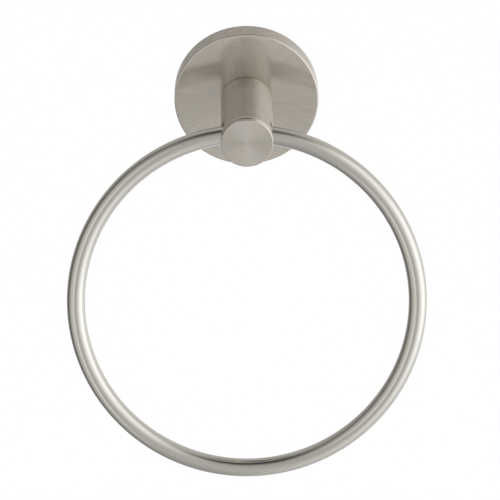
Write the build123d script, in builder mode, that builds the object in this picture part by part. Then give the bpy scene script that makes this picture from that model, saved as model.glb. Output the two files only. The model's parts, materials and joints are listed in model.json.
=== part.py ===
"""Towel ring: a round wall plate, a cross-bored post and a loose ring, with the hidden wall bracket.

Millimetres. The wall is the plane y = 0 and the origin is the centre of the plate's back on it.
+Z is up and the part stands out of the wall towards -Y, so a depth d from the wall is at y = -d.
"""

from build123d import *
from math import asin, cos, radians, sin, sqrt, tan
import os

# Wall plate, a round cup that is open towards the wall
plate_diameter = 64.0
plate_depth = 9.3
plate_face = 2.6
plate_rim = 2.4
plate_edge = 0.7
plate_inner_corner = 1.2
plate_back_break = 0.3

# Post, turned from round bar, with a thin lip in front of a narrow neck
post_diameter = 22.7
post_length = 42.6
post_base_break = 0.4
post_edge = 0.5
lip_thickness = 0.8
neck_length = 2.85
neck_depth = 0.8
neck_round = 2.0
spigot_diameter = 9.0
spigot_flat = 1.2
spigot_recess = 0.3
tapped_room = 4.7
drill_point_angle = 118.0

# Ring, one closed loop of round wire in a loose hole across the post
ring_diameter = 150.0
wire_diameter = 8.0
ring_play = 2.3
ring_seat_gap = 0.15
hole_land = 0.6
mouth_break = 0.3
ring_swing = 17.8

# Screw and washers that hold the post on the plate
post_screw_diameter = 5.0
post_screw_length = 12.0
post_screw_head_diameter = 9.5
post_screw_head_height = 2.75
post_screw_head_rim = 0.35
post_screw_crown = 4.6
post_screw_socket = 3.0
post_screw_socket_depth = 1.6
post_screw_point = 0.5
flat_washer_diameter = 15.0
flat_washer_thickness = 1.2
lock_washer_diameter = 9.2
lock_washer_thickness = 1.2
lock_washer_split = 0.8
lock_washer_split_angle = 25.0
washer_clearance = 0.15

# Wall bracket, a tapered round that the cup hooks over
hook_overlap = 2.3
hook_room = 0.7
hook_depth = 1.8
hook_arc = 80.0
bracket_headroom = 1.7
bracket_land = 1.0
bracket_bore_clearance = 1.5
wall_screw_hole = 4.6
wall_screw_countersink = 9.2
wall_screw_countersink_angle = 90.0

# Grub screw under the rim
set_screw_diameter = 4.0
set_screw_length = 5.0
set_screw_tip = 1.0
set_screw_bite = 0.8
set_screw_socket = 2.0
set_screw_socket_depth = 2.0

# Fits
thread_clearance = 0.05
spigot_clearance = 0.1
seat_clearance = 0.1
set_screw_bite_gap = 0.05

# Derived radii and depths
plate_radius = plate_diameter / 2
cup_radius = plate_radius - plate_rim
cup_depth = plate_depth - plate_face
post_radius = post_diameter / 2
post_front = plate_depth + post_length
lip_back = post_front - lip_thickness
neck_start = lip_back - neck_length
neck_radius = post_radius - neck_depth
neck_run = sqrt(neck_depth * (2 * neck_round - neck_depth))
spigot_radius = spigot_diameter / 2
spigot_length = plate_face - spigot_recess
spigot_end = plate_depth - spigot_length

thread_radius = post_screw_diameter / 2
washer_bore_radius = thread_radius + washer_clearance
lock_washer_radius = lock_washer_diameter / 2
flat_washer_back = cup_depth - flat_washer_thickness
lock_washer_back = flat_washer_back - lock_washer_thickness
screw_head_back = lock_washer_back - post_screw_head_height
screw_head_radius = post_screw_head_diameter / 2
screw_crown_radius = post_screw_crown / 2
screw_end = lock_washer_back + post_screw_length
tapped_radius = thread_radius + thread_clearance
tapped_end = screw_end + tapped_room
drill_tip = tapped_radius / tan(radians(drill_point_angle / 2))

bracket_depth = cup_depth - bracket_headroom
bracket_radius = cup_radius - hook_overlap - hook_room
bracket_bore_radius = flat_washer_diameter / 2 + bracket_bore_clearance
taper_depth = bracket_depth - bracket_land
taper_fall = hook_overlap + seat_clearance
bracket_back_radius = bracket_radius - taper_fall
taper_slope = taper_fall / taper_depth
wall_screw_reach = (bracket_bore_radius + bracket_back_radius) / 2

# The grub screw's tip stands off the taper where its front side comes nearest to it
set_screw_radius = set_screw_diameter / 2
set_screw_tip_radius = set_screw_tip / 2
set_screw_tip_bevel = set_screw_radius - set_screw_tip_radius
set_screw_front = taper_depth - set_screw_bite
set_screw_depth = set_screw_front - set_screw_tip_radius
set_screw_inner = bracket_back_radius + taper_slope * set_screw_front + set_screw_bite_gap
set_screw_outer = set_screw_inner + set_screw_length

wire_radius = wire_diameter / 2
ring_radius = ring_diameter / 2
hole_radius = wire_radius + ring_play / 2
hole_depth = neck_start - hole_land - mouth_break - hole_radius
# The wire leaves the mouths at a slope, so it is a little taller there, and its crown stands
# above its height at the mouths by the arc's rise over half the post.
mouth_slope = asin(post_radius / ring_radius)
crown_rise = ring_radius - sqrt(ring_radius**2 - post_radius**2)
mouth_drop = hole_radius - wire_radius / cos(mouth_slope) - ring_seat_gap
ring_drop = ring_radius - crown_rise + mouth_drop


def wall_plane(depth):
    """Plane parallel to the wall at a depth, seen from the front, with its normal out of the wall."""
    return Plane.XZ.offset(depth)


def bracket_radius_at(depth):
    """Radius of the bracket's tapered edge at a depth."""
    return bracket_back_radius + taper_slope * depth


def d_profile(radius):
    """Round profile with one flat on its upper side, as the spigot and its seat have."""
    flat_height = spigot_radius - spigot_flat
    with BuildSketch(mode=Mode.PRIVATE) as profile:
        Circle(radius)
        with Locations((0, flat_height + radius - spigot_radius)):
            Rectangle(2 * radius, 2 * radius, align=(Align.CENTER, Align.MIN), mode=Mode.SUBTRACT)
    return profile.sketch


# Wall plate: a solid round, hollowed from the wall side
with BuildPart() as wall_plate:
    with BuildSketch(wall_plane(0)):
        Circle(plate_radius)
    extrude(amount=plate_depth)
    fillet(wall_plate.edges().group_by(Axis.Y)[0], plate_edge)
    chamfer(wall_plate.edges().group_by(Axis.Y)[-1], plate_back_break)
    with BuildSketch(wall_plane(0)):
        Circle(cup_radius)
    extrude(amount=cup_depth, mode=Mode.SUBTRACT)
    cup_floor = wall_plate.faces().filter_by(Axis.Y).sort_by(Axis.Y)[1]
    fillet(cup_floor.edges(), plate_inner_corner)
    # Seat for the post's spigot, with a flat that keeps the cross hole level
    with BuildSketch(wall_plane(cup_depth)):
        add(d_profile(spigot_radius + spigot_clearance))
    extrude(amount=plate_face, mode=Mode.SUBTRACT)
    # Lip along the top of the rim that hooks behind the bracket's tapered edge
    with BuildSketch(Plane.XY.rotated((0, -90 - hook_arc / 2, 0))):
        with BuildLine():
            Polyline(
                (cup_radius + plate_rim / 2, -plate_back_break),
                (bracket_radius_at(plate_back_break) + seat_clearance, -plate_back_break),
                (bracket_radius_at(hook_depth) + seat_clearance, -hook_depth),
                (cup_radius + plate_rim / 2, -hook_depth),
                close=True,
            )
        make_face()
    revolve(axis=Axis.Y, revolution_arc=hook_arc)
    # Tapped hole for the grub screw, on the underside
    with Locations(Plane(origin=(0, -set_screw_depth, -plate_radius), z_dir=(0, 0, -1))):
        Hole(set_screw_radius + thread_clearance, depth=2 * plate_rim)
wall_plate.part.label = "wall_plate"

# Post: turned bar that rounds off into its neck, with a D-shaped spigot, a blind tapped hole behind
# and the ring's hole across it
with BuildPart() as post:
    with BuildSketch(Plane.XY):
        with BuildLine():
            neck_edge = (post_radius, -neck_start)
            neck_floor = (neck_radius, -neck_start - neck_run)
            Polyline(
                neck_floor,
                (neck_radius, -lip_back),
                (post_radius, -lip_back),
                (post_radius, -post_front),
                (0, -post_front),
                (0, -plate_depth),
                (post_radius - post_base_break, -plate_depth),
                (post_radius, -plate_depth - post_base_break),
                neck_edge,
            )
            TangentArc(neck_edge, neck_floor, tangent=(0, -1))
        make_face()
    revolve(axis=Axis.Y)
    fillet(post.edges().group_by(Axis.Y)[0], post_edge)
    with BuildSketch(wall_plane(spigot_end)):
        add(d_profile(spigot_radius))
    extrude(amount=spigot_length)
    with BuildSketch(Plane.XY):
        with BuildLine():
            Polyline(
                (0, -spigot_end),
                (tapped_radius, -spigot_end),
                (tapped_radius, -tapped_end),
                (0, -tapped_end - drill_tip),
                close=True,
            )
        make_face()
    revolve(axis=Axis.Y, mode=Mode.SUBTRACT)
    with Locations(Plane(origin=(0, -hole_depth, 0), z_dir=(1, 0, 0))):
        Hole(hole_radius)
    mouths = post.edges().filter_by(lambda e: abs(e.center().X) > post_radius / 2).filter_by(GeomType.BSPLINE)
    chamfer(mouths, mouth_break)
post.part.label = "post"

# Ring: round wire bent to a circle in a plane that hangs from the hole's axis
swing = radians(ring_swing)
ring_normal = Vector(0, -cos(swing), sin(swing))
ring_down = Vector(0, -sin(swing), -cos(swing))
hole_centre = Vector(0, -hole_depth, 0)
ring_centre = hole_centre + ring_down * ring_drop
with BuildPart() as ring:
    with BuildSketch(Plane(origin=ring_centre, x_dir=(1, 0, 0), z_dir=ring_down)):
        with Locations((ring_radius, 0)):
            Circle(wire_radius)
    revolve(axis=Axis(ring_centre, ring_normal))
ring.part.label = "ring"

# Button-head screw: domed head with a hexagon socket, and a shank with a bevelled point
with BuildPart() as post_screw:
    with BuildSketch(Plane.XY):
        with BuildLine():
            crown = (screw_crown_radius, -screw_head_back)
            shoulder = (screw_head_radius, -lock_washer_back + post_screw_head_rim)
            Polyline(
                crown,
                (0, -screw_head_back),
                (0, -screw_end),
                (thread_radius - post_screw_point, -screw_end),
                (thread_radius, -screw_end + post_screw_point),
                (thread_radius, -lock_washer_back),
                (screw_head_radius, -lock_washer_back),
                shoulder,
            )
            TangentArc(shoulder, crown, tangent=(0, 1))
        make_face()
    revolve(axis=Axis.Y)
    with BuildSketch(wall_plane(screw_head_back)):
        RegularPolygon(post_screw_socket / 2, 6, major_radius=False)
    extrude(amount=post_screw_socket_depth, mode=Mode.SUBTRACT)
post_screw.part.label = "post_screw"

# Wide flat washer on the cup's floor
with BuildPart() as flat_washer:
    with BuildSketch(wall_plane(flat_washer_back)):
        Circle(flat_washer_diameter / 2)
        Circle(washer_bore_radius, mode=Mode.SUBTRACT)
    extrude(amount=flat_washer_thickness)
flat_washer.part.label = "flat_washer"

# Spring washer, pressed flat, with its slanted split on the right
with BuildPart() as lock_washer:
    with BuildSketch(wall_plane(lock_washer_back)):
        Circle(lock_washer_radius)
        Circle(washer_bore_radius, mode=Mode.SUBTRACT)
    extrude(amount=lock_washer_thickness)
    split_middle = (lock_washer_radius + washer_bore_radius) / 2
    split_origin = (split_middle, -lock_washer_back - lock_washer_thickness / 2, 0)
    with BuildSketch(Plane(split_origin).rotated((lock_washer_split_angle, 0, 0))):
        Rectangle(lock_washer_radius, 3 * lock_washer_thickness)
    extrude(amount=lock_washer_split / 2, both=True, mode=Mode.SUBTRACT)
lock_washer.part.label = "lock_washer"

# Wall bracket: a ring whose edge tapers in towards the wall, with two countersunk wall-screw holes
with BuildPart() as wall_bracket:
    with BuildSketch(Plane.XY):
        with BuildLine():
            Polyline(
                (bracket_bore_radius, 0),
                (bracket_back_radius, 0),
                (bracket_radius, -taper_depth),
                (bracket_radius, -bracket_depth),
                (bracket_bore_radius, -bracket_depth),
                close=True,
            )
        make_face()
    revolve(axis=Axis.Y)
    with Locations(wall_plane(bracket_depth)):
        with Locations((-wall_screw_reach, 0), (wall_screw_reach, 0)):
            CounterSinkHole(
                wall_screw_hole / 2,
                wall_screw_countersink / 2,
                counter_sink_angle=wall_screw_countersink_angle,
            )
wall_bracket.part.label = "wall_bracket"

# Grub screw: hexagon socket outside, bevelled tip against the bracket's taper
with BuildPart() as set_screw:
    with BuildSketch(Plane(origin=(0, -set_screw_depth, 0), x_dir=(1, 0, 0), z_dir=(0, -1, 0))):
        with BuildLine():
            Polyline(
                (0, -set_screw_inner),
                (set_screw_tip_radius, -set_screw_inner),
                (set_screw_radius, -set_screw_inner - set_screw_tip_bevel),
                (set_screw_radius, -set_screw_outer),
                (0, -set_screw_outer),
                close=True,
            )
        make_face()
    revolve(axis=Axis((0, -set_screw_depth, 0), (0, 0, 1)))
    with BuildSketch(Plane(origin=(0, -set_screw_depth, -set_screw_outer), z_dir=(0, 0, 1))):
        RegularPolygon(set_screw_socket / 2, 6, major_radius=False)
    extrude(amount=set_screw_socket_depth, mode=Mode.SUBTRACT)
set_screw.part.label = "set_screw"

os.makedirs("parts", exist_ok=True)
export_step(wall_plate.part, "parts/wall_plate.step")
export_step(post.part, "parts/post.step")
export_step(ring.part, "parts/ring.step")
export_step(post_screw.part, "parts/post_screw.step")
export_step(flat_washer.part, "parts/flat_washer.step")
export_step(lock_washer.part, "parts/lock_washer.step")
export_step(wall_bracket.part, "parts/wall_bracket.step")
export_step(set_screw.part, "parts/set_screw.step")
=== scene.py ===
import json
from math import acos, asin, cos, degrees, pi, radians, sin

import bmesh
import bpy
import numpy as np
from mathutils import Matrix, Vector


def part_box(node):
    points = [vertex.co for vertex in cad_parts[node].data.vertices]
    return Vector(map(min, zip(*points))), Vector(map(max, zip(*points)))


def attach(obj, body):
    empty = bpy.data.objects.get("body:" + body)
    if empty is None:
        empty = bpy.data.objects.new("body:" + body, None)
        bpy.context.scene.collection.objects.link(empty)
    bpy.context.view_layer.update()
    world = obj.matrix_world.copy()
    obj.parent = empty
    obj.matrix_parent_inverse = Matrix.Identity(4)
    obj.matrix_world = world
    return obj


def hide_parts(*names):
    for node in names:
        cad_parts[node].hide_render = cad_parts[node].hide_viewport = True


bl_info = {
    "name": "Towel ring",
    "version": (1, 0, 0),
    "blender": (4, 5, 0),
    "location": "3D View > Sidebar > Towel ring",
    "description": "Gives a wall-fixed towel ring its fine surfaces, brushed finishes and a small studio",
    "category": "Object",
}

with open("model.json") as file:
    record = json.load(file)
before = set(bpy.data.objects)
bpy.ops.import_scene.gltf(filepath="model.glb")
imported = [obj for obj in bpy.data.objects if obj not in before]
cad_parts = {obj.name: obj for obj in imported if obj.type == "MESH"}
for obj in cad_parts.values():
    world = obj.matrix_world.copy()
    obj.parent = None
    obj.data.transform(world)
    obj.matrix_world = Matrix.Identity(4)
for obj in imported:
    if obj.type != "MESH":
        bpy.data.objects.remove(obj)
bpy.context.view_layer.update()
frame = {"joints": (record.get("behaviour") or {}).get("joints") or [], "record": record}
BODY_OF = {
    node: body for body, members in frame["record"]["behaviour"]["bodies"].items() for node in members
}
COLOUR_OF = {row["slot"]: row["base_color"] for row in frame["record"]["materials"]}
WALL_SCREWS = next(m for m in frame["record"]["mounts"] if m["name"] == "wall_screws")["dims"]
RING_HINGE = next(j for j in frame["joints"] if j["name"] == "ring_swing")["pos_m"]

MM = 0.001
# A profile's straight runs have a point this far inside each end
HOLD = 0.04 * MM
# Points closer than this are merged
WELD = 0.001 * MM
# Edges that turn by more than this stay sharp
SHARP_EDGE = radians(32)
# Where the way round a hole's collar starts
FIRST_BEARING = radians(1)
# The right and the left of the part
SIDES = (1, -1)


class Extent:
    """A CAD node's reach in the frame: how far it goes sideways, out of the wall, up and down."""

    def __init__(self, node):
        low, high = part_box(node)
        self.middle = (low + high) / 2
        self.half = (high - low) / 2
        self.right = high.x
        self.back = -high.y
        self.front = -low.y
        self.top = high.z
        self.bottom = low.z


PLATE = Extent("wall_plate")
POST = Extent("post")
RING = Extent("ring")
BRACKET = Extent("wall_bracket")
FLAT_WASHER = Extent("flat_washer")
LOCK_WASHER = Extent("lock_washer")
POST_SCREW = Extent("post_screw")
SET_SCREW = Extent("set_screw")


def length(name, description, default):
    """A length in metres that a user may change."""
    return bpy.props.FloatProperty(
        name=name, description=description, default=default, unit="LENGTH", precision=5
    )


def angle(name, description, default):
    """An angle, given in degrees."""
    return bpy.props.FloatProperty(
        name=name, description=description, default=radians(default), subtype="ANGLE"
    )


def share(name, description, default):
    """A plain number, such as a roughness or a tilt."""
    return bpy.props.FloatProperty(name=name, description=description, default=default, precision=3)


def colour(name, description, default):
    """A linear colour."""
    return bpy.props.FloatVectorProperty(
        name=name, description=description, default=default, subtype="COLOR", size=3, min=0, max=1
    )


def position(name, description, default):
    """A place in the frame, in metres."""
    return bpy.props.FloatVectorProperty(
        name=name, description=description, default=default, subtype="TRANSLATION", unit="LENGTH"
    )


def count(name, description, default):
    """A number of grid steps."""
    return bpy.props.IntProperty(name=name, description=description, default=default, min=3)


class PlateSizes(bpy.types.PropertyGroup):
    """Sizes of the round cup against the wall."""

    radius: length("Radius", "Outside radius of the cup", PLATE.right)
    depth: length("Depth", "From the wall to the front face", PLATE.front)
    face: length("Face", "Thickness of the front face", 2.6 * MM)
    rim: length("Rim", "Thickness of the rim", 2.4 * MM)
    edge: length("Front edge", "Radius of the rounded front edge", 0.7 * MM)
    corner: length("Inner corner", "Radius of the corner inside the cup", 1.2 * MM)
    back_break: length("Back edge", "Bevel of the edge at the wall", 0.3 * MM)
    seat_radius: length("Seat", "Radius of the hole that the post's spigot sits in", 4.6 * MM)
    seat_flat: length("Seat flat", "Height of the flat in that hole above its centre", 3.4 * MM)
    hook_depth: length("Hook depth", "From the wall to the front of the hooked lip", 1.8 * MM)
    hook_back: length("Hook at the wall", "Inner radius of the lip at its back", 24.48 * MM)
    hook_front: length("Hook in front", "Inner radius of the lip at its front", 25.38 * MM)
    hook_arc: angle("Hook arc", "How far the lip runs along the top of the rim", 80)
    set_hole: length("Set screw hole", "Radius of the tapped hole in the rim's underside", 2.05 * MM)
    columns: count("Columns", "Grid steps round the plate", 288)


class PostSizes(bpy.types.PropertyGroup):
    """Sizes of the turned bar that carries the ring."""

    radius: length("Radius", "Radius of the bar", POST.right)
    base: length("Base", "From the wall to the shoulder on the plate", PLATE.front)
    front: length("Front", "From the wall to the front face", POST.front)
    base_break: length("Base edge", "Bevel of the edge on the plate", 0.4 * MM)
    edge: length("Front edge", "Radius of the rounded front edge", 0.5 * MM)
    lip: length("Lip", "Thickness of the lip in front of the neck", 0.8 * MM)
    neck: length("Neck", "How far the neck runs behind the lip", 2.85 * MM)
    neck_depth: length("Neck depth", "How far the neck is cut in", 0.8 * MM)
    neck_round: length("Neck shoulder", "Radius of the shoulder that falls to the neck", 2.0 * MM)
    hole: length("Cross hole", "Radius of the hole for the ring", 5.15 * MM)
    hole_depth: length("Hole depth", "From the wall to the hole's axis", -RING_HINGE[1])
    mouth_break: length("Mouth", "Bevel of the hole's mouths", 0.3 * MM)
    spigot_radius: length("Spigot", "Radius of the spigot in the plate", 4.5 * MM)
    spigot_flat: length("Spigot flat", "Height of the spigot's flat above its centre", 3.3 * MM)
    spigot_end: length("Spigot end", "From the wall to the spigot's end", POST.back)
    tapped: length("Tapped hole", "Radius of the tapped hole behind", 2.55 * MM)
    tapped_end: length("Tapped end", "From the wall to the end of the full thread", 21.0 * MM)
    drill_end: length("Drill end", "From the wall to the point of the drilled hole", 22.53 * MM)
    columns: count("Columns", "Grid steps round the post", 160)


class RingSizes(bpy.types.PropertyGroup):
    """Sizes of the loop of round wire."""

    wire: length("Wire", "Radius of the wire", 4.0 * MM)
    reach: length("Reach", "Outside radius of the loop", RING.right)
    columns: count("Columns", "Grid steps along the loop", 420)
    rows: count("Rows", "Grid steps round the wire", 64)


class HardwareSizes(bpy.types.PropertyGroup):
    """Sizes of the hidden bracket, screws and washers."""

    bracket_bore: length("Bracket bore", "Radius of the bracket's open middle", 9.0 * MM)
    bracket_land: length("Bracket land", "Width of the straight edge in front of the taper", 1.0 * MM)
    bracket_back: length("Bracket back", "Radius of the bracket at the wall", 24.2 * MM)
    countersink: length("Countersink", "Radius of the countersink's mouth", 4.6 * MM)
    washer_bore: length("Washer bore", "Radius of the washers' holes", 2.65 * MM)
    washer_edge: length("Washer edge", "Bevel of the flat washer's edges", 0.12 * MM)
    split: length("Split", "Width of the spring washer's split", 0.8 * MM)
    split_slant: angle("Split slant", "Slant of that split", 25)
    shank: length("Screw shank", "Outside radius of the post screw's thread", 2.5 * MM)
    head_height: length("Head height", "Height of the domed head", 2.75 * MM)
    head_rim: length("Head rim", "Straight edge under the dome", 0.35 * MM)
    crown: length("Crown", "Radius of the flat on top of the dome", 2.3 * MM)
    socket: length("Socket", "Half the width across the post screw's socket", 1.5 * MM)
    socket_depth: length("Socket depth", "Depth of that socket", 1.6 * MM)
    point: length("Point", "Bevel of the post screw's end", 0.5 * MM)
    pitch: length("Thread pitch", "Pitch of the post screw's thread", 0.8 * MM)
    set_tip: length("Set screw tip", "Radius of the set screw's tip", 0.5 * MM)
    set_socket: length("Set screw socket", "Half the width across its socket", 1.0 * MM)
    set_socket_depth: length("Set socket depth", "Depth of that socket", 2.0 * MM)
    set_pitch: length("Set screw pitch", "Pitch of the set screw's thread", 0.7 * MM)
    bracket_columns: count("Bracket columns", "Grid steps round the bracket", 180)
    washer_columns: count("Washer columns", "Grid steps round each washer", 96)
    screw_columns: count("Screw columns", "Grid steps round each screw", 72)


class Finishes(bpy.types.PropertyGroup):
    """Colours and textures of the metals."""

    # One nickel in two tints: the plate and post's warmer colour and the ring's paler, cooler one are
    # painted tints, standing in for the warmer light that the plate and post mirror back and forth between
    # them
    nickel: colour("Nickel", "Colour of the brushed plate and post", (0.585, 0.542, 0.475))
    nickel_roughness: share("Nickel roughness", "Roughness of the plate and the post", 0.12)
    groove_roughness: share("Groove roughness", "Roughness of the light that their grooves tip", 0.26)
    groove_share: share("Groove share", "How much of the light the grooves tip", 0.45)
    side_share: share("Side share", "How much more of it they tip on the sides", 0.22)
    far_share: share("Far share", "How much of the tipped light the far lobes get", 0.4)
    far_tilt: share("Far tilt", "How far they are tipped, as a multiple of the near lobes", 1.7)
    near_lean: share("Near lean", "What the near lobe out of the wall gains on the sides", 0.27)
    far_lean: share("Far lean", "What the far lobe out of the wall gains on the sides", 0.38)
    plate_fan: share("Plate fan", "How far the grooves on the plate's face tip it, as a slope", 0.16)
    plate_hoop: share("Plate hoop", "How far the grooves round the plate's rim tip it, as a slope", 0.28)
    post_fan: share("Post fan", "How far the grooves on the post's face tip it, as a slope", 0.3)
    post_hoop: share("Post hoop", "How far the grooves round the post tip it, as a slope", 0.36)
    line_tone: share("Line tone", "How far the hairlines change the colour", 0.62)
    # The ring's polish is its lower roughness; its paler, cooler colour is a painted tint for the less warm
    # light it mirrors
    ring_nickel: colour("Ring nickel", "Colour of the ring, which is polished paler", (0.597, 0.571, 0.522))
    ring_roughness: share("Ring roughness", "Roughness of the ring", 0.08)
    zinc: colour("Zinc", "Colour of the bracket's dull zinc", COLOUR_OF["bracket_zinc_plate"])
    bright_zinc: colour("Bright zinc", "Colour of the washers", COLOUR_OF["washer_steel"])
    steel: colour("Steel", "Colour of the screws", COLOUR_OF["screw_steel"])


class StudioSettings(bpy.types.PropertyGroup):
    """Camera, floor and light."""

    camera: position("Camera", "Where the camera stands", (-9.1 * MM, -1029.5 * MM, 497.0 * MM))
    pitch: angle("Pitch", "How far the camera looks down", 29.333)
    yaw: angle("Yaw", "How far it looks to the right", 0.613)
    roll: angle("Roll", "How far it leans", 0.227)
    lens: bpy.props.FloatProperty(
        name="Lens", description="Focal length", default=183.67, subtype="DISTANCE_CAMERA"
    )
    floor_drop: length("Floor", "How far the floor lies below the wall plate's centre", 0.9)
    floor_half: length("Floor size", "Half the floor's width", 6.0)
    floor_colour: colour("Floor colour", "Colour of the pale floor", (0.82, 0.82, 0.82))
    key_power: bpy.props.FloatProperty(
        name="Key lamp", description="Power of the large soft lamp on the right", default=0.5, unit="POWER"
    )
    key_place: position("Key place", "Where that lamp stands", (1.4, -0.6, 0.15))
    key_width: length("Key width", "Width of that lamp", 0.9)
    key_height: length("Key height", "Height of that lamp", 1.2)


class TowelRingSettings(bpy.types.PropertyGroup):
    """All that a user may change."""

    plate: bpy.props.PointerProperty(type=PlateSizes)
    post: bpy.props.PointerProperty(type=PostSizes)
    ring: bpy.props.PointerProperty(type=RingSizes)
    hardware: bpy.props.PointerProperty(type=HardwareSizes)
    finishes: bpy.props.PointerProperty(type=Finishes)
    studio: bpy.props.PointerProperty(type=StudioSettings)


# Surfaces

# A thread's grid steps to a pitch, its depth in pitches, and how much steeper its flats make its flanks
THREAD_STEPS = 10
THREAD_DEPTH = 0.6
THREAD_FLANK = 1.5


def turn(columns):
    """Evenly spaced angles of a full turn about the wall's normal, from straight up towards +X."""
    return np.linspace(0, 2 * pi, columns + 1)


def spun(radius, depth, angles):
    """Points about the wall's normal: x = radius sin(angle), y = -depth, z = radius cos(angle)."""
    radius, depth, angles = np.broadcast_arrays(radius, depth, angles)
    return np.stack([radius * np.sin(angles), -depth, radius * np.cos(angles)], axis=-1)


def turned(profile, angles):
    """Surface of a profile of (radius, depth) points that is turned about the wall's normal."""
    return spun(profile[:, :1], profile[:, 1:], angles)


def wall_profile(radius, depths):
    """Profile of a wall at several depths, with one radius or one for each depth."""
    return np.stack(np.broadcast_arrays(radius, depths), axis=-1)


def straight(start, end):
    """Straight run of a profile, with a point just inside each end so that the flat between shades flat."""
    start, end = np.array(start), np.array(end)
    step = HOLD * (end - start) / np.linalg.norm(end - start)
    return np.array([start, start + step, end - step, end])


def bend(centre, radius, start, end, steps=10):
    """Arc of a profile: centre plus radius times (cos, sin) of an angle in degrees."""
    swing = np.radians(np.linspace(start, end, steps + 1))
    return np.array(centre) + radius * np.stack([np.cos(swing), np.sin(swing)], axis=-1)


def d_shape(radius, flat, angles):
    """Radius of a round with one flat across its top: the smaller of the radius and flat / cos(angle)."""
    rise = np.cos(angles)
    return np.where(rise * radius > flat, flat / np.maximum(rise, flat / radius), radius)


def hexagon(half_width, angles):
    """Radius of a hexagon: half its width over the cosine of the angle to the nearest side's middle."""
    return half_width / np.cos((angles + pi / 6) % (pi / 3) - pi / 6)


def thread(major, pitch, start, end, angles):
    """Threaded rod: its radius falls by a triangle wave of depth / pitch - turns.

    The wave is clipped to flats at crest and root, and it fades in at both ends.
    """
    steps = round(THREAD_STEPS * (end - start) / pitch)
    depth = np.linspace(start, end, steps + 1)[:, None]
    wave = np.abs(2 * ((depth / pitch - angles / (2 * pi)) % 1) - 1)
    groove = THREAD_DEPTH * pitch * np.clip(THREAD_FLANK * (wave - 0.5) + 0.5, 0, 1)
    fade = np.clip(np.minimum(depth - start, end - depth) / pitch, 0, 1)
    return spun(major - groove * fade, depth, angles)


def between(*loops):
    """Straight surface from one line of points to the next."""
    return np.stack(loops)


def socketed(half_width, bottom, top, brim, angles):
    """Hexagon socket: from the middle of its bottom, up its sides and out to a round brim."""
    sides = hexagon(half_width, angles)
    loops = ((0, bottom), (sides, bottom), (sides, top), (brim, top))
    return between(*(spun(radius, depth, angles) for radius, depth in loops))


def side_windows(columns, half):
    """Windows on the right and on the left of a full turn, each half so many columns wide."""
    quarter = columns // 4
    return [(middle - half, middle + half) for middle in (quarter, 3 * quarter)]


def pierced(band, windows):
    """Splits a band of a surface at windows, each a first and a last column.

    Gives the stretches beside the windows and the closed border of each window.
    """
    starts = [0] + [last for first, last in windows]
    ends = [first for first, last in windows] + [band.shape[1] - 1]
    stretches = [band[:, start : end + 1] for start, end in zip(starts, ends)]
    borders = []
    for first, last in windows:
        pane = band[:, first : last + 1]
        borders.append(np.concatenate([pane[0, :-1], pane[:-1, -1], pane[-1, :0:-1], pane[:0:-1, 0]]))
    return stretches, borders


def collar(border, axes, centre, radius, lift, steps=8):
    """Fills a window up to a round hole, with lines from the hole's circle to the window's border.

    Seen along the hole, a point is circle + t (border - circle), which is then lifted onto the surface.
    Gives the surface and the border's angles.
    """
    flat = border[:, axes] - centre
    bearing = np.arctan2(flat[:, 1], flat[:, 0])
    order = np.argsort((bearing - FIRST_BEARING) % (2 * pi))
    order = np.append(order, order[0])
    circle = circle_at(0, radius, bearing[order])
    stage = np.linspace(0, 1, steps + 1)[:, None, None]
    return lift(centre + circle + stage * (flat[order] - circle)), bearing[order]


def circle_at(centre, radius, bearing):
    """Points of a circle in the plane across a hole."""
    return centre + radius * np.stack([np.cos(bearing), np.sin(bearing)], axis=-1)


def torus(centre, across, up, normal, reach, wire, columns, rows):
    """Wire bent to a circle: centre + (reach + wire cos v)(across sin u + up cos u) + wire sin v normal."""
    u = np.linspace(0, 2 * pi, columns + 1)[None, :, None]
    v = np.linspace(0, 2 * pi, rows + 1)[:, None, None]
    spoke = across * np.sin(u) + up * np.cos(u)
    return centre + (reach + wire * np.cos(v)) * spoke + wire * np.sin(v) * normal


def split_ring(inner, outer, back, front, split, slant, columns):
    """Spring washer: its section is carried round from one face of the slanted split to the other.

    At a point of the section that lies an offset from mid depth, the split's faces are at
    z = (offset sin(slant) +- split / 2) / cos(slant), so the way round runs from arccos(z / radius) of the
    lower face to that of the upper face a turn later.
    """
    middle = (back + front) / 2

    def swept(radius, depth, stage):
        drift = (depth - middle) * sin(slant)
        first = np.arccos((drift - split / 2) / cos(slant) / radius)
        last = np.arccos((drift + split / 2) / cos(slant) / radius) + 2 * pi
        return spun(radius, depth, first + stage * (last - first))

    outline = np.array([(inner, back), (outer, back), (outer, front), (inner, front), (inner, back)])
    radius, depth = outline[:, :1], outline[:, 1:]
    stage = np.linspace(0, 1, columns + 1)[None, :]
    corner_radius = np.array([[inner, outer], [inner, outer]])
    corner_depth = np.array([[back, back], [front, front]])
    ends = [swept(corner_radius, corner_depth, end) for end in (0.0, 1.0)]
    return [swept(radius, depth, stage), *ends]


def quads(grid):
    """Corner numbers of a grid's four-sided faces."""
    rows, columns = grid.shape[:2]
    corner = np.arange(rows * columns).reshape(rows, columns)
    faces = [corner[:-1, :-1], corner[:-1, 1:], corner[1:, 1:], corner[1:, :-1]]
    return np.stack(faces, axis=-1).reshape(-1, 4)


def mesh_of(name, patches):
    """One mesh of several grids of points, whose shared borders are merged."""
    starts = np.cumsum([0] + [patch.shape[0] * patch.shape[1] for patch in patches])
    points = np.concatenate([patch.reshape(-1, 3) for patch in patches])
    faces = np.concatenate([quads(patch) + start for patch, start in zip(patches, starts)])
    mesh = bpy.data.meshes.new(name)
    mesh.from_pydata(points.tolist(), [], faces.tolist())
    shape = bmesh.new()
    shape.from_mesh(mesh)
    bmesh.ops.remove_doubles(shape, verts=shape.verts, dist=WELD)
    bmesh.ops.dissolve_degenerate(shape, edges=shape.edges, dist=WELD)
    bmesh.ops.recalc_face_normals(shape, faces=shape.faces)
    shape.to_mesh(mesh)
    shape.free()
    mesh.shade_smooth()
    mesh.set_sharp_from_angle(angle=SHARP_EDGE)
    return mesh


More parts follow.
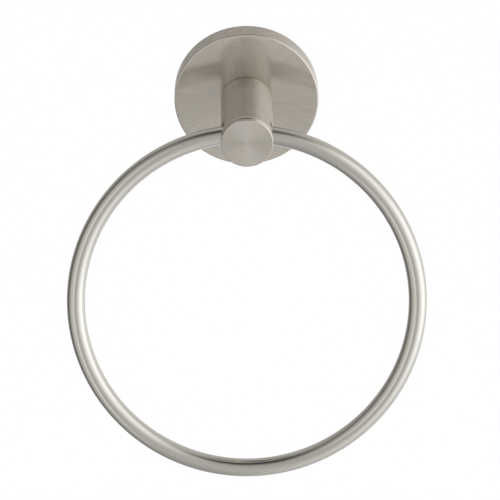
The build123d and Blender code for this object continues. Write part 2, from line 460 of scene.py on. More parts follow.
def dress(node, patches, material):
    """Makes the closed piece that stands for a CAD node, with its finish, on the node's body."""
    name = node + "_finished"
    mesh = mesh_of(name, patches)
    edge_of_corner = np.empty(len(mesh.loops), dtype=np.int32)
    mesh.loops.foreach_get("edge_index", edge_of_corner)
    edge_uses = np.bincount(edge_of_corner, minlength=len(mesh.edges))
    if np.any(edge_uses != 2):
        raise RuntimeError(f"{name} is not closed: {np.count_nonzero(edge_uses != 2)} open edges")
    mesh.materials.append(material)
    piece = bpy.data.objects.new(name, mesh)
    bpy.context.scene.collection.objects.link(piece)
    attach(piece, BODY_OF[node])
    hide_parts(node)


# Shading


class Value:
    """A socket in a node tree. Arithmetic on it adds Math nodes to the tree."""

    def __init__(self, tree, socket):
        self.tree = tree
        self.socket = socket

    def other(self, name):
        """Another output of the same node."""
        return Value(self.tree, self.socket.node.outputs[name])

    def math(self, operation, *operands):
        """A Math node's result."""
        return self.tree.node("ShaderNodeMath", {"operation": operation}, dict(enumerate(operands)))

    def __add__(self, addend):
        return self.math("ADD", self, addend)

    __radd__ = __add__

    def __sub__(self, amount):
        return self.math("SUBTRACT", self, amount)

    def __rsub__(self, whole):
        return self.math("SUBTRACT", whole, self)

    def __mul__(self, factor):
        return self.math("MULTIPLY", self, factor)

    __rmul__ = __mul__

    def __truediv__(self, divisor):
        return self.math("DIVIDE", self, divisor)

    def __pow__(self, power):
        return self.math("POWER", self, power)

    def __abs__(self):
        return self.math("ABSOLUTE", self)


class Tree:
    """The node tree of a material or of the world, emptied for a new start."""

    def __init__(self, owner):
        owner.use_nodes = True
        self.nodes = owner.node_tree.nodes
        self.links = owner.node_tree.links
        self.nodes.clear()

    def node(self, kind, settings=None, sockets=None, give=0):
        """Adds a node, sets its settings, then its sockets' values or links, and gives an output."""
        made = self.nodes.new(kind)
        for name, setting in (settings or {}).items():
            setattr(made, name, setting)
        for name, value in (sockets or {}).items():
            if isinstance(value, Value):
                self.links.new(value.socket, made.inputs[name])
            else:
                made.inputs[name].default_value = value
        return Value(self, made.outputs[give]) if made.outputs else None

    def vector(self, operation, *operands):
        """A Vector Math node's result."""
        return self.node("ShaderNodeVectorMath", {"operation": operation}, dict(enumerate(operands)))

    def scaled(self, vector, factor):
        """A vector times a number."""
        sockets = {"Vector": vector, "Scale": factor}
        return self.node("ShaderNodeVectorMath", {"operation": "SCALE"}, sockets)

    def combined(self, x, y, z):
        """A vector of three numbers."""
        return self.node("ShaderNodeCombineXYZ", None, {"X": x, "Y": y, "Z": z})

    def separated(self, vector):
        """A vector's three numbers."""
        x = self.node("ShaderNodeSeparateXYZ", None, {"Vector": vector})
        return x, x.other("Y"), x.other("Z")

    def noise(self, vector, detail=2.0, roughness=0.5):
        """Soft noise about 0, from -0.5 to 0.5."""
        made = self.node(
            "ShaderNodeTexNoise",
            None,
            {"Vector": vector, "Scale": 1.0, "Detail": detail, "Roughness": roughness},
        )
        return made - 0.5

    def smooth(self, value, zero_at, one_at):
        """A smooth step from 0 to 1."""
        return self.node(
            "ShaderNodeMapRange",
            {"interpolation_type": "SMOOTHSTEP"},
            {"Value": value, "From Min": zero_at, "From Max": one_at},
        )

    def toned(self, base, tone):
        """A colour whose brightness is changed by a number."""
        return self.scaled((*base,), 1 + tone)

    def mixed(self, first, second, factor):
        """Two surfaces that share the light."""
        return self.node("ShaderNodeMixShader", None, {0: factor, 1: first, 2: second})

    def finish(self, surface, output="ShaderNodeOutputMaterial"):
        """Ends the tree with its surface."""
        self.node(output, None, {"Surface": surface})


def new_material(name):
    """A new material and its tree."""
    material = bpy.data.materials.new(name)
    return material, Tree(material)


# Metal is this bright at grazing angles
GRAZING_TINT = (0.85, 0.85, 0.85, 1.0)
# A turned face counts as flat, or as a side, by how far its normal points out of the wall
FACE_FROM, FACE_WHOLE = 0.95, 0.995
SIDE_FROM, SIDE_WHOLE = 0.3, 0.05
# Half the length over which a side's brushing ends
BRUSH_FADE = 0.1 * MM
# Keeps the radius of the turning above 0 on its axis
TURN_CORE = 0.05 * MM
# Fineness of hairlines: cells to a radian round the axis, and to a metre along the radius and the depth
FAN_ROUND, FAN_RADIAL, FAN_DEPTH = 95.0, 90, 40
HOOP_ROUND, HOOP_ACROSS = 9.0, 1800
# Fineness of the wire's die lines: cells to a metre across the wire and along it
DIE_ACROSS, DIE_ALONG = 2600, 8
# Fineness of its polishing marks: cells to a radian along the loop, and how much finer across the wire
MARK_ALONG, MARK_FINER = 420.0, 12
# Fineness of cloudy patches: cells to a metre
NICKEL_CLOUD, RING_CLOUD, STEEL_CLOUD = 90.0, 60.0, 260.0
# How far hairlines tip the normal, in steps of the near lobes
LINE_TILT = 0.6
# How far each texture changes the roughness
LINE_ROUGHNESS, NICKEL_CLOUD_ROUGHNESS = 0.08, 0.02
DIE_ROUGHNESS, MARK_ROUGHNESS, RING_CLOUD_ROUGHNESS = 0.06, 0.04, 0.03
BLOOM_ROUGHNESS = 0.12
# How far each texture changes the colour
CLOUD_TONE, DIE_TONE, MARK_TONE, SPECK_TONE = 0.03, 0.1, 0.05, 0.12
# The plated steel's bumps: their strength and height, and the cloud's part in them
BUMP_STRENGTH, BUMP_HEIGHT, BUMP_CLOUD = 0.15, 0.05 * MM, 0.5


def metal_lobe(tree, base_color, roughness, normal=None):
    """A plain metallic surface, a little dull at grazing angles."""
    sockets = {
        "Base Color": base_color,
        "Roughness": roughness,
        "Metallic": 1.0,
        "Specular Tint": GRAZING_TINT,
    }
    if normal is not None:
        sockets["Normal"] = normal
    return tree.node("ShaderNodeBsdfPrincipled", None, sockets)


def turned_nickel(name, finishes, fan_tilt, hoop_tilt, brushed_to):
    """Brushed nickel on a piece turned about the wall's normal.

    Flat faces have hairlines that fan out from the centre, so their grooves tip the light along the way
    round. Sides have lines that run round them, so theirs tip it along the piece's axis. Rounded edges are
    smooth, and so is what stands further out of the wall than the depth to which the sides are brushed.
    Five lobes share the light: one straight, and a near and a far one to each side of it. On the sides the
    grooves lean, so the lobes that point out of the wall get more of it.
    """
    material, tree = new_material(name)
    place = tree.node("ShaderNodeTexCoord", give="Object")
    x, y, z = tree.separated(place)
    radius = (x * x + z * z + TURN_CORE**2) ** 0.5
    spoke = tree.combined(x / radius, 0.0, z / radius)
    round_way = tree.vector("CROSS_PRODUCT", spoke, (0.0, 1.0, 0.0))
    normal = tree.node("ShaderNodeNewGeometry", give="Normal")
    outward = abs(tree.separated(normal)[1])
    on_face = tree.smooth(outward, FACE_FROM, FACE_WHOLE)
    brushed = tree.smooth(y, -brushed_to - BRUSH_FADE, BRUSH_FADE - brushed_to)
    on_side = tree.smooth(outward, SIDE_FROM, SIDE_WHOLE) * brushed
    across = tree.vector(
        "ADD",
        tree.scaled(round_way, on_face * fan_tilt),
        tree.combined(0.0, on_side * hoop_tilt, 0.0),
    )

    fan_shift = tree.combined(0.0, radius * FAN_RADIAL, y * FAN_DEPTH)
    fan_place = tree.vector("ADD", tree.scaled(spoke, FAN_ROUND), fan_shift)
    fan_lines = tree.noise(fan_place, detail=4.0, roughness=0.75) * on_face
    hoop_shift = tree.combined(0.0, y * HOOP_ACROSS, radius * HOOP_ACROSS)
    hoop_place = tree.vector("ADD", tree.scaled(spoke, HOOP_ROUND), hoop_shift)
    hoop_lines = tree.noise(hoop_place, detail=3.0, roughness=0.65) * on_side
    lines = fan_lines + hoop_lines
    cloud = tree.noise(tree.scaled(place, NICKEL_CLOUD))
    # The nickel colour carries the painted warm tint for the light that the plate and post mirror between
    # them
    tone = tree.toned(finishes.nickel, lines * finishes.line_tone + cloud * CLOUD_TONE)
    unevenness = lines * LINE_ROUGHNESS + cloud * NICKEL_CLOUD_ROUGHNESS

    def lobe(sideways):
        roughness = finishes.groove_roughness if sideways else finishes.nickel_roughness
        tipped = tree.vector("ADD", normal, tree.scaled(across, lines * LINE_TILT + sideways))
        return metal_lobe(tree, tone, roughness + unevenness, tree.vector("NORMALIZE", tipped))

    def pair(sideways, lean):
        return tree.mixed(lobe(-sideways), lobe(sideways), 0.5 - on_side * lean)

    near = pair(1.0, finishes.near_lean)
    far = pair(finishes.far_tilt, finishes.far_lean)
    tipped_share = finishes.groove_share + on_side * finishes.side_share
    tree.finish(tree.mixed(lobe(0.0), tree.mixed(near, far, finishes.far_share), tipped_share))
    return material


def drawn_nickel(name, finishes, ring, swing):
    """Satin nickel on the wire: faint die lines run along it, and short polishing marks cross it."""
    material, tree = new_material(name)
    place = tree.node("ShaderNodeTexCoord", give="Object")
    in_plane = tree.node(
        "ShaderNodeMapping",
        {"vector_type": "TEXTURE"},
        {"Vector": place, "Location": RING.middle, "Rotation": (-swing, 0.0, 0.0)},
    )
    x, out, z = tree.separated(in_plane)
    radius = (x * x + z * z) ** 0.5
    off_line = radius - (ring.reach - ring.wire)
    section = tree.combined(off_line * DIE_ACROSS, out * DIE_ACROSS, x * DIE_ALONG)
    die_lines = tree.noise(section, detail=3.0, roughness=0.6)
    way_round = tree.combined(x / radius, out * MARK_FINER, z / radius)
    marks = tree.noise(tree.scaled(way_round, MARK_ALONG))
    cloud = tree.noise(tree.scaled(in_plane, RING_CLOUD))
    unevenness = die_lines * DIE_ROUGHNESS + marks * MARK_ROUGHNESS + cloud * RING_CLOUD_ROUGHNESS
    roughness = finishes.ring_roughness + unevenness
    tone = die_lines * DIE_TONE + marks * MARK_TONE + cloud * CLOUD_TONE
    # The ring's nickel colour carries a painted paler, cooler tint for the light it mirrors
    tree.finish(metal_lobe(tree, tree.toned(finishes.ring_nickel, tone), roughness))
    return material


def plated_steel(name, base, roughness, bloom, grain):
    """Zinc-plated or plain steel: cloudy bloom over the plate, and a fine grain."""
    material, tree = new_material(name)
    place = tree.node("ShaderNodeTexCoord", give="Object")
    cloud = tree.noise(tree.scaled(place, STEEL_CLOUD), detail=4.0, roughness=0.65)
    speck = tree.noise(tree.scaled(place, grain))
    tone = cloud * bloom + speck * SPECK_TONE
    bumps = tree.node(
        "ShaderNodeBump",
        None,
        {"Strength": BUMP_STRENGTH, "Distance": BUMP_HEIGHT, "Height": speck + cloud * BUMP_CLOUD},
    )
    tree.finish(metal_lobe(tree, tree.toned(base, tone), roughness + cloud * BLOOM_ROUGHNESS, bumps))
    return material


# Pieces

# How far the window round each hole reaches, as a multiple of the hole's radius
SET_WINDOW_FRONT, SET_WINDOW_BACK, SET_WINDOW_SIDE = 1.2, 1.1, 1.35
CROSS_WINDOW = 1.05
SINK_WINDOW_OUT, SINK_WINDOW_ROUND = 1.17, 1.2
# Points across the band that holds those windows
SET_POINTS, CROSS_POINTS, SINK_POINTS = 13, 15, 9
# The plate's face is a plain ring from here outwards, as a multiple of the seat's radius
FACE_START = 2
# Grid steps up the dome of the post screw's head
DOME_STEPS = 14
# The set screw's outer end, as a share of its radius
SET_RIM = 0.9


class PieceOperator:
    """What every operator here shares."""

    bl_options = {"REGISTER", "UNDO"}


class TOWEL_RING_OT_wall_plate(PieceOperator, bpy.types.Operator):
    """Make the round cup against the wall, with its hooked lip and its set screw hole"""

    bl_idname = "towel_ring.wall_plate"
    bl_label = "Wall plate"

    def execute(self, context):
        plate = context.scene.towel_ring.plate
        angles = turn(plate.columns)
        cup = plate.radius - plate.rim
        floor = plate.depth - plate.face
        seat = d_shape(plate.seat_radius, plate.seat_flat, angles)
        face_start = FACE_START * plate.seat_radius
        hole_depth = -SET_SCREW.middle.y
        band_front = hole_depth + SET_WINDOW_FRONT * plate.set_hole
        band_back = hole_depth - SET_WINDOW_BACK * plate.set_hole
        band_depths = np.append(np.linspace(band_back, band_front, SET_POINTS), plate.hook_depth)
        band_depths = np.unique(band_depths)

        outside = np.concatenate([
            straight((face_start, plate.depth), (plate.radius - plate.edge, plate.depth)),
            bend((plate.radius - plate.edge, plate.depth - plate.edge), plate.edge, 90, 0),
            straight((plate.radius, plate.depth - plate.edge), (plate.radius, band_front)),
        ])
        rim_back = np.array([
            (plate.radius, band_back),
            (plate.radius, plate.back_break),
            (plate.radius - plate.back_break, 0),
            (cup, 0),
            (cup, plate.back_break),
        ])
        inside = np.concatenate([
            straight((cup, band_front), (cup, floor - plate.corner)),
            bend((cup - plate.corner, floor - plate.corner), plate.corner, 0, 90),
            straight((cup - plate.corner, floor), (face_start, floor)),
        ])
        seat_front = spun(seat, plate.depth, angles)
        seat_back = spun(seat, floor, angles)

        half_hole = round(plate.columns * SET_WINDOW_SIDE * plate.set_hole / (2 * pi * cup))
        window = (plate.columns // 2 - half_hole, plate.columns // 2 + half_hole)
        rim_band = turned(wall_profile(plate.radius, band_depths), angles)
        rim_stretches, (rim_border,) = pierced(rim_band, [window])
        hole_centre = np.array([0, -hole_depth])

        def on_underside(radius):
            def lift(flat):
                x, y = flat[..., 0], flat[..., 1]
                return np.stack([x, y, -np.sqrt(radius**2 - x**2)], axis=-1)

            return lift

        on_rim = on_underside(plate.radius)
        on_cup = on_underside(cup)
        rim_collar, rim_bearing = collar(rim_border, [0, 1], hole_centre, plate.set_hole, on_rim)

        # The cup's wall: plain for most of the way round, with the hooked lip along the top
        hook_columns = round(plate.columns * plate.hook_arc / (4 * pi))
        lip_depths = np.array([plate.back_break, plate.hook_depth])
        lip_radii = np.array([plate.hook_back, plate.hook_front])
        wall_depths = np.append(plate.back_break, band_depths)
        plain_wall = turned(wall_profile(cup, wall_depths), angles)
        plain_wall = plain_wall[:, hook_columns : plate.columns - hook_columns + 1]
        cup_window = (window[0] - hook_columns, window[1] - hook_columns)
        wall_stretches, (wall_border,) = pierced(plain_wall[1:], [cup_window])
        wall_collar, cup_bearing = collar(wall_border, [0, 1], hole_centre, plate.set_hole, on_cup)

        on_lip = wall_depths[wall_depths <= plate.hook_depth]
        lip = wall_profile(np.interp(on_lip, lip_depths, lip_radii), on_lip)
        beyond = wall_depths[wall_depths >= plate.hook_depth]
        lip_angles = np.linspace(-1, 1, 2 * hook_columns + 1) * angles[hook_columns]
        hooked = np.concatenate([[(cup, plate.back_break)], lip, wall_profile(cup, beyond)])
        lip_ends = [
            between(spun(cup, on_lip, end), spun(lip[:, 0], on_lip, end)) for end in lip_angles[[0, -1]]
        ]

        hole_wall = between(
            on_rim(circle_at(hole_centre, plate.set_hole, rim_bearing)),
            on_cup(circle_at(hole_centre, plate.set_hole, cup_bearing)),
        )
        patches = [
            between(seat_front, spun(face_start, plate.depth, angles)),
            turned(outside, angles),
            *rim_stretches,
            rim_collar,
            turned(rim_back, angles),
            plain_wall[:2],
            *wall_stretches,
            wall_collar,
            turned(hooked, lip_angles),
            *lip_ends,
            hole_wall,
            turned(inside, angles),
            between(spun(face_start, floor, angles), seat_back),
            between(seat_back, seat_front),
        ]
        finishes = context.scene.towel_ring.finishes
        finish = turned_nickel(
            "brushed_nickel_plate", finishes, finishes.plate_fan, finishes.plate_hoop, plate.depth
        )
        dress("wall_plate", patches, finish)
        return {"FINISHED"}


class TOWEL_RING_OT_post(PieceOperator, bpy.types.Operator):
    """Make the turned post with the ring's hole across it"""

    bl_idname = "towel_ring.post"
    bl_label = "Post"

    def execute(self, context):
        post = context.scene.towel_ring.post
        angles = turn(post.columns)
        mouth = post.hole + post.mouth_break
        window = CROSS_WINDOW * mouth
        band_back = post.hole_depth - window
        band_front = post.hole_depth + window
        lip_back = post.front - post.lip
        neck_start = lip_back - post.neck
        neck = post.radius - post.neck_depth
        fall = acos(1 - post.neck_depth / post.neck_round)
        base_edge = (post.radius, post.base + post.base_break)
        body = np.concatenate([
            straight((post.radius - post.base_break, post.base), base_edge),
            straight(base_edge, (post.radius, band_back)),
        ])
        nose = np.concatenate([
            straight((post.radius, band_front), (post.radius, neck_start)),
            bend((post.radius - post.neck_round, neck_start), post.neck_round, 0, degrees(fall)),
            straight((neck, neck_start + post.neck_round * sin(fall)), (neck, lip_back)),
            straight((neck, lip_back), (post.radius, lip_back)),
            straight((post.radius, lip_back), (post.radius, post.front - post.edge)),
            bend((post.radius - post.edge, post.front - post.edge), post.edge, 0, 90),
            straight((post.radius - post.edge, post.front), (0, post.front)),
        ])
        band_depths = np.linspace(band_back, band_front, CROSS_POINTS)
        band = turned(wall_profile(post.radius, band_depths), angles)
        half_mouth = round(post.columns * asin(window / post.radius) / (2 * pi)) + 1
        stretches, borders = pierced(band, side_windows(post.columns, half_mouth))
        hole_centre = np.array([-post.hole_depth, 0])

        def on_side(side, sink=0.0):
            def lift(flat):
                reach = np.sqrt(post.radius**2 - flat[..., 1] ** 2) - sink
                return np.stack([side * reach, flat[..., 0], flat[..., 1]], axis=-1)

            return lift

        collars = []
        for side, border in zip(SIDES, borders):
            surface, bearing = collar(border, [1, 2], hole_centre, mouth, on_side(side))
            collars.append(surface)
        bore = circle_at(hole_centre, post.hole, bearing)
        lips = circle_at(hole_centre, mouth, bearing)
        hole_wall = between(
            on_side(1)(lips),
            on_side(1, post.mouth_break)(bore),
            on_side(-1, post.mouth_break)(bore),
            on_side(-1)(lips),
        )
        spigot = d_shape(post.spigot_radius, post.spigot_flat, angles)
        shoulder = spun(spigot, post.base, angles)
        spigot_back = spun(spigot, post.spigot_end, angles)
        drilled = np.array([
            (post.tapped, post.spigot_end),
            (post.tapped, post.tapped_end),
            (0, post.drill_end),
        ])
        patches = [
            turned(body, angles),
            *stretches,
            *collars,
            turned(nose, angles),
            hole_wall,
            between(spun(post.radius - post.base_break, post.base, angles), shoulder),
            between(shoulder, spigot_back),
            between(spigot_back, spun(post.tapped, post.spigot_end, angles)),
            turned(drilled, angles),
        ]
        finishes = context.scene.towel_ring.finishes
        finish = turned_nickel(
            "brushed_nickel_post", finishes, finishes.post_fan, finishes.post_hoop, neck_start
        )
        dress("post", patches, finish)
        return {"FINISHED"}


class TOWEL_RING_OT_ring(PieceOperator, bpy.types.Operator):
    """Make the loose ring of round wire"""

    bl_idname = "towel_ring.ring"
    bl_label = "Ring"

    def execute(self, context):
        ring = context.scene.towel_ring.ring
        line = ring.reach - ring.wire
        swing = asin((RING.half.y - ring.wire) / line)
        up = np.array([0, sin(swing), cos(swing)])
        normal = np.array([0, -cos(swing), sin(swing)])
        across = np.array([1.0, 0, 0])
        loop = torus(np.array(RING.middle), across, up, normal, line, ring.wire, ring.columns, ring.rows)
        finish = drawn_nickel("satin_nickel_ring", context.scene.towel_ring.finishes, ring, swing)
        dress("ring", [loop], finish)
        return {"FINISHED"}


class TOWEL_RING_OT_bracket(PieceOperator, bpy.types.Operator):
    """Make the tapered wall bracket with its two countersunk holes"""

    bl_idname = "towel_ring.bracket"
    bl_label = "Wall bracket"

    def execute(self, context):
        hardware = context.scene.towel_ring.hardware
        columns = hardware.bracket_columns
        angles = turn(columns)
        depth = BRACKET.front
        radius = BRACKET.right
        reach = WALL_SCREWS["spacing_x_mm"] / 2 * MM
        hole = WALL_SCREWS["hole_r_mm"] * MM
        margin = SINK_WINDOW_OUT * hardware.countersink
        band_radii = np.linspace(reach - margin, reach + margin, SINK_POINTS)
        half_window = round(columns * SINK_WINDOW_ROUND * asin(hardware.countersink / reach) / (2 * pi))
        windows = side_windows(columns, half_window)

        def at_depth(level):
            def lift(flat):
                return np.stack([flat[..., 0], 0 * flat[..., 0] - level, flat[..., 1]], axis=-1)

            return lift

        patches = []
        bearings = []
        for level, mouth in ((depth, hardware.countersink), (0, hole)):
            band = spun(band_radii[:, None], level, angles)
            stretches, borders = pierced(band, windows)
            patches += stretches
            for side, border in zip(SIDES, borders):
                centre = np.array([side * reach, 0])
                surface, bearing = collar(border, [0, 2], centre, mouth, at_depth(level))
                patches.append(surface)
                bearings.append(bearing)
        sink_depth = depth - (hardware.countersink - hole)
        for side, bearing in zip(SIDES, bearings):
            centre = np.array([side * reach, 0])
            patches.append(between(
                at_depth(depth)(circle_at(centre, hardware.countersink, bearing)),
                at_depth(sink_depth)(circle_at(centre, hole, bearing)),
                at_depth(0)(circle_at(centre, hole, bearing)),
            ))
        outer = np.array([
            (band_radii[-1], depth),
            (radius, depth),
            (radius, depth - hardware.bracket_land),
            (hardware.bracket_back, 0),
            (band_radii[-1], 0),
        ])
        inner = np.array([
            (band_radii[0], 0),
            (hardware.bracket_bore, 0),
            (hardware.bracket_bore, depth),
            (band_radii[0], depth),
        ])
        patches += [turned(outer, angles), turned(inner, angles)]
        zinc = context.scene.towel_ring.finishes.zinc
        finish = plated_steel("dull_zinc_bracket", zinc, roughness=0.36, bloom=0.3, grain=5200.0)
        dress("wall_bracket", patches, finish)
        return {"FINISHED"}


class TOWEL_RING_OT_washers(PieceOperator, bpy.types.Operator):
    """Make the wide flat washer and the split spring washer"""

    bl_idname = "towel_ring.washers"
    bl_label = "Washers"

    def execute(self, context):
        hardware = context.scene.towel_ring.hardware
        zinc = context.scene.towel_ring.finishes.bright_zinc
        finish = plated_steel("bright_zinc_washers", zinc, roughness=0.26, bloom=0.2, grain=6400.0)
        bore = hardware.washer_bore
        edge = hardware.washer_edge
        radius = FLAT_WASHER.right
        section = np.array([
            (bore, FLAT_WASHER.back + edge),
            (bore + edge, FLAT_WASHER.back),
            (radius - edge, FLAT_WASHER.back),
            (radius, FLAT_WASHER.back + edge),
            (radius, FLAT_WASHER.front - edge),
            (radius - edge, FLAT_WASHER.front),
            (bore + edge, FLAT_WASHER.front),
            (bore, FLAT_WASHER.front - edge),
            (bore, FLAT_WASHER.back + edge),
        ])
        dress("flat_washer", [turned(section, turn(hardware.washer_columns))], finish)
        patches = split_ring(
            bore,
            LOCK_WASHER.top,
            LOCK_WASHER.back,
            LOCK_WASHER.front,
            hardware.split,
            hardware.split_slant,
            hardware.washer_columns,
        )
        dress("lock_washer", patches, finish)
        return {"FINISHED"}


class TOWEL_RING_OT_screws(PieceOperator, bpy.types.Operator):
    """Make the post screw and the set screw, with their threads and hexagon sockets"""

    bl_idname = "towel_ring.screws"
    bl_label = "Screws"

    def execute(self, context):
        hardware = context.scene.towel_ring.hardware
        steel = context.scene.towel_ring.finishes.steel
        finish = plated_steel("plain_steel_screws", steel, roughness=0.24, bloom=0.12, grain=7000.0)
        angles = turn(hardware.screw_columns)
        back = POST_SCREW.back
        end = POST_SCREW.front
        under_head = back + hardware.head_height
        head = POST_SCREW.right
        shank = hardware.shank
        # The dome is an arc that leaves the rim straight back and ends at the crown
        rise = hardware.head_height - hardware.head_rim
        run = head - hardware.crown
        dome = (run**2 + rise**2) / (2 * run)
        sweep = np.degrees(np.arctan2(rise, dome - run))
        head_profile = np.concatenate([
            bend((head - dome, back + rise), dome, -sweep, 0, DOME_STEPS),
            [(head, under_head), (shank, under_head)],
        ])
        point_start = end - hardware.point
        point = np.array([(shank, point_start), (shank - hardware.point, end), (0, end)])
        patches = [
            socketed(hardware.socket, back + hardware.socket_depth, back, hardware.crown, angles),
            turned(head_profile, angles),
            thread(shank, hardware.pitch, under_head, point_start, angles),
            turned(point, angles),
        ]
        dress("post_screw", patches, finish)

        inner = -SET_SCREW.top
        outer = -SET_SCREW.bottom
        radius = SET_SCREW.right
        tip_end = inner + (radius - hardware.set_tip)
        rim = SET_RIM * radius
        rim_start = outer - (radius - rim)
        tip = np.array([(0, inner), (hardware.set_tip, inner), (radius, tip_end)])
        upright = [
            turned(tip, angles),
            thread(radius, hardware.set_pitch, tip_end, rim_start, angles),
            turned(np.array([(radius, rim_start), (rim, outer)]), angles),
            socketed(hardware.set_socket, outer - hardware.set_socket_depth, outer, rim, angles),
        ]
        # Turned down: what pointed out of the wall now points at the floor
        drop = np.array([0, SET_SCREW.middle.y, 0])
        dress("set_screw", [patch[..., [0, 2, 1]] + drop for patch in upright], finish)
        return {"FINISHED"}


# Studio


class SoftPanel:
    """A soft-edged panel of the room: its light, and its middle, half size and soft margin in degrees.

    Each of the last three is an azimuth and an elevation. A dark flag has a light below 0.
    """

    def __init__(self, light, middle, half, soft):
        self.light = light
        self.middle = middle
        self.half = half
        self.soft = soft

    def seen(self, tree, *direction):
        """Its light in a direction: whole inside the panel, fading to 0 over the soft margin."""
        side, rise = (
            tree.smooth(abs(toward - middle), half + soft, half)
            for toward, middle, half, soft in zip(direction, self.middle, self.half, self.soft)
        )
        return self.light * (side * rise)


WHITE = (1.0, 1.0, 1.0, 1.0)
# The room's light where no panel is, and its panels
ROOM_LIGHT = 0.5
TALL_SCRIM = SoftPanel(0.7, (67, 16), (9, 24), (50, 36))
LOW_SCRIM = SoftPanel(0.46, (77, -21), (47, 1), (50, 105))
LEFT_FILL = SoftPanel(0.3, (-40, 5), (12, 10), (30, 46))
LEFT_STRIP = SoftPanel(0.32, (-30, 5), (2, 20), (8, 40))
LEFT_FLAG = SoftPanel(-0.3, (-102, -11), (6, 57), (26, 20))
CEILING_FLAG = SoftPanel(-0.33, (-16, 83), (85, 9), (50, 30))
LOW_BOUNCE = SoftPanel(0.56, (168, -35), (8, 1), (42, 58))
HIGH_BOUNCE = SoftPanel(0.14, (168, 29), (16, 10), (40, 18))
# How much darker the zenith is, and the elevations over which it darkens
ZENITH_LIGHT, ZENITH_RISE = -0.1, (58.0, 82.0)
# The room's weak tint: where dark parts, light parts and the ground begin and end, and what they add
ROOM_BLUE = 0.99
DARK_LEVELS, DARK_RED = (0.5, 0.1), 0.07
LIGHT_LEVELS, LIGHT_RED, LIGHT_BLUE = (0.9, 1.5), -0.03, 0.055
GROUND_FALL, GROUND_RED, GROUND_BLUE = (-10.0, -45.0), -0.015, 0.025
# Points along each side of the floor, and the width of the camera's sensor in millimetres
FLOOR_POINTS = 9
SENSOR_WIDTH = 36.0


def light_room(world):
    """A pale studio room with soft panels, which only mirrored and see-through rays see.

    A tall and a low scrim stand on the right, a fill with a bright strip in front on the left, and two
    pale bounces behind. Dark flags hang on the left and overhead, and the zenith is darker still.
    Azimuth 0 looks out of the wall and 90 to the right. The camera, and all other light, sees a plain
    white sweep.
    """
    tree = Tree(world)
    x, y, z = tree.separated(tree.node("ShaderNodeTexCoord", give="Generated"))
    azimuth = x.math("ARCTAN2", x, 0 - y) * (180 / pi)
    around = azimuth.math("FLOORED_MODULO", azimuth, 360.0)
    elevation = z.math("ARCSINE", z) * (180 / pi)
    level = ROOM_LIGHT
    for panel in (TALL_SCRIM, LOW_SCRIM, LEFT_FILL, LEFT_STRIP, LEFT_FLAG, CEILING_FLAG):
        level = level + panel.seen(tree, azimuth, elevation)
    level = level + ZENITH_LIGHT * tree.smooth(elevation, *ZENITH_RISE)
    for panel in (LOW_BOUNCE, HIGH_BOUNCE):
        level = level + panel.seen(tree, around, elevation)
    dark = tree.smooth(level, *DARK_LEVELS)
    light = tree.smooth(level, *LIGHT_LEVELS)
    below = tree.smooth(elevation, *GROUND_FALL)
    tint = tree.combined(
        1.0 + DARK_RED * dark + LIGHT_RED * light + GROUND_RED * below,
        1.0,
        ROOM_BLUE + LIGHT_BLUE * light + GROUND_BLUE * below,
    )
    room = tree.node("ShaderNodeBackground", None, {"Color": tint, "Strength": level})
    sweep = tree.node("ShaderNodeBackground", None, {"Color": WHITE, "Strength": 1.0})
    glossy = tree.node("ShaderNodeLightPath", give="Is Glossy Ray")
    mirrored = glossy.math("MAXIMUM", glossy, glossy.other("Is Transmission Ray"))
    tree.finish(tree.mixed(sweep, room, mirrored), "ShaderNodeOutputWorld")


def pale_floor(studio):
    """Matt floor paint that takes the shadow: white to the camera, as the sweep is, and pale to all else."""
    material, tree = new_material("pale_floor")
    seen = tree.node("ShaderNodeLightPath", give="Is Camera Ray")
    paint = tree.node("ShaderNodeBsdfDiffuse", None, {"Color": (*studio.floor_colour, 1.0)})
    white = tree.node("ShaderNodeBsdfDiffuse", None, {"Color": WHITE})
    tree.finish(tree.mixed(paint, white, seen))
    return material


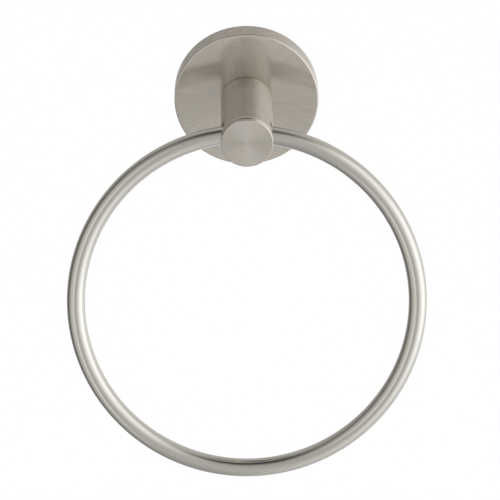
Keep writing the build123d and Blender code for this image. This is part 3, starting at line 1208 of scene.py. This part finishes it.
class TOWEL_RING_OT_studio(PieceOperator, bpy.types.Operator):
    """Set up the floor, the light and the camera"""

    bl_idname = "towel_ring.studio"
    bl_label = "Studio"

    def execute(self, context):
        scene = context.scene
        studio = scene.towel_ring.studio
        scene.view_settings.view_transform = "Standard"

        side = np.linspace(-studio.floor_half, studio.floor_half, FLOOR_POINTS)
        across, along = np.meshgrid(side, side)
        sheet = np.stack([across, along, 0 * across - studio.floor_drop], axis=-1)
        mesh = mesh_of("floor", [sheet])
        mesh.materials.append(pale_floor(studio))
        floor = bpy.data.objects.new("floor", mesh)
        floor.visible_glossy = False
        scene.collection.objects.link(floor)

        world = bpy.data.worlds.new("studio_room")
        scene.world = world
        light_room(world)

        key = bpy.data.lights.new("key_lamp", "AREA")
        key.shape = "RECTANGLE"
        key.size = studio.key_width
        key.size_y = studio.key_height
        key.energy = studio.key_power
        lamp = bpy.data.objects.new("key_lamp", key)
        lamp.location = studio.key_place
        lamp.rotation_euler = (-lamp.location).to_track_quat("-Z", "Y").to_euler()
        scene.collection.objects.link(lamp)

        forward = Vector((
            sin(studio.yaw) * cos(studio.pitch),
            cos(studio.yaw) * cos(studio.pitch),
            -sin(studio.pitch),
        ))
        level = Vector((cos(studio.yaw), -sin(studio.yaw), 0))
        upward = level.cross(forward)
        camera_data = bpy.data.cameras.new("camera")
        camera_data.lens = studio.lens
        camera_data.sensor_width = SENSOR_WIDTH
        camera = bpy.data.objects.new("camera", camera_data)
        right = cos(studio.roll) * level + sin(studio.roll) * upward
        top = cos(studio.roll) * upward - sin(studio.roll) * level
        turned_to = Matrix((right, top, -forward)).transposed()
        camera.matrix_world = Matrix.Translation(studio.camera) @ turned_to.to_4x4()
        scene.collection.objects.link(camera)
        scene.camera = camera
        return {"FINISHED"}


class TOWEL_RING_PT_panel(bpy.types.Panel):
    """The towel ring's pieces and settings"""

    bl_label = "Towel ring"
    bl_idname = "TOWEL_RING_PT_panel"
    bl_space_type = "VIEW_3D"
    bl_region_type = "UI"
    bl_category = "Towel ring"

    def draw(self, context):
        for operator in OPERATORS:
            self.layout.operator(operator.bl_idname)
        settings = context.scene.towel_ring
        for part in settings.__annotations__:
            group = getattr(settings, part)
            box = self.layout.box()
            for name in group.__annotations__:
                box.prop(group, name)


GROUPS = (PlateSizes, PostSizes, RingSizes, HardwareSizes, Finishes, StudioSettings, TowelRingSettings)
OPERATORS = (
    TOWEL_RING_OT_wall_plate,
    TOWEL_RING_OT_post,
    TOWEL_RING_OT_ring,
    TOWEL_RING_OT_bracket,
    TOWEL_RING_OT_washers,
    TOWEL_RING_OT_screws,
    TOWEL_RING_OT_studio,
)


def register():
    for group in (*GROUPS, *OPERATORS, TOWEL_RING_PT_panel):
        bpy.utils.register_class(group)
    bpy.types.Scene.towel_ring = bpy.props.PointerProperty(type=TowelRingSettings)


def unregister():
    del bpy.types.Scene.towel_ring
    for group in reversed((*GROUPS, *OPERATORS, TOWEL_RING_PT_panel)):
        bpy.utils.unregister_class(group)


def main():
    register()
    bpy.ops.towel_ring.wall_plate()
    bpy.ops.towel_ring.post()
    bpy.ops.towel_ring.ring()
    bpy.ops.towel_ring.bracket()
    bpy.ops.towel_ring.washers()
    bpy.ops.towel_ring.screws()
    bpy.ops.towel_ring.studio()


if __name__ == "__main__":
    main()
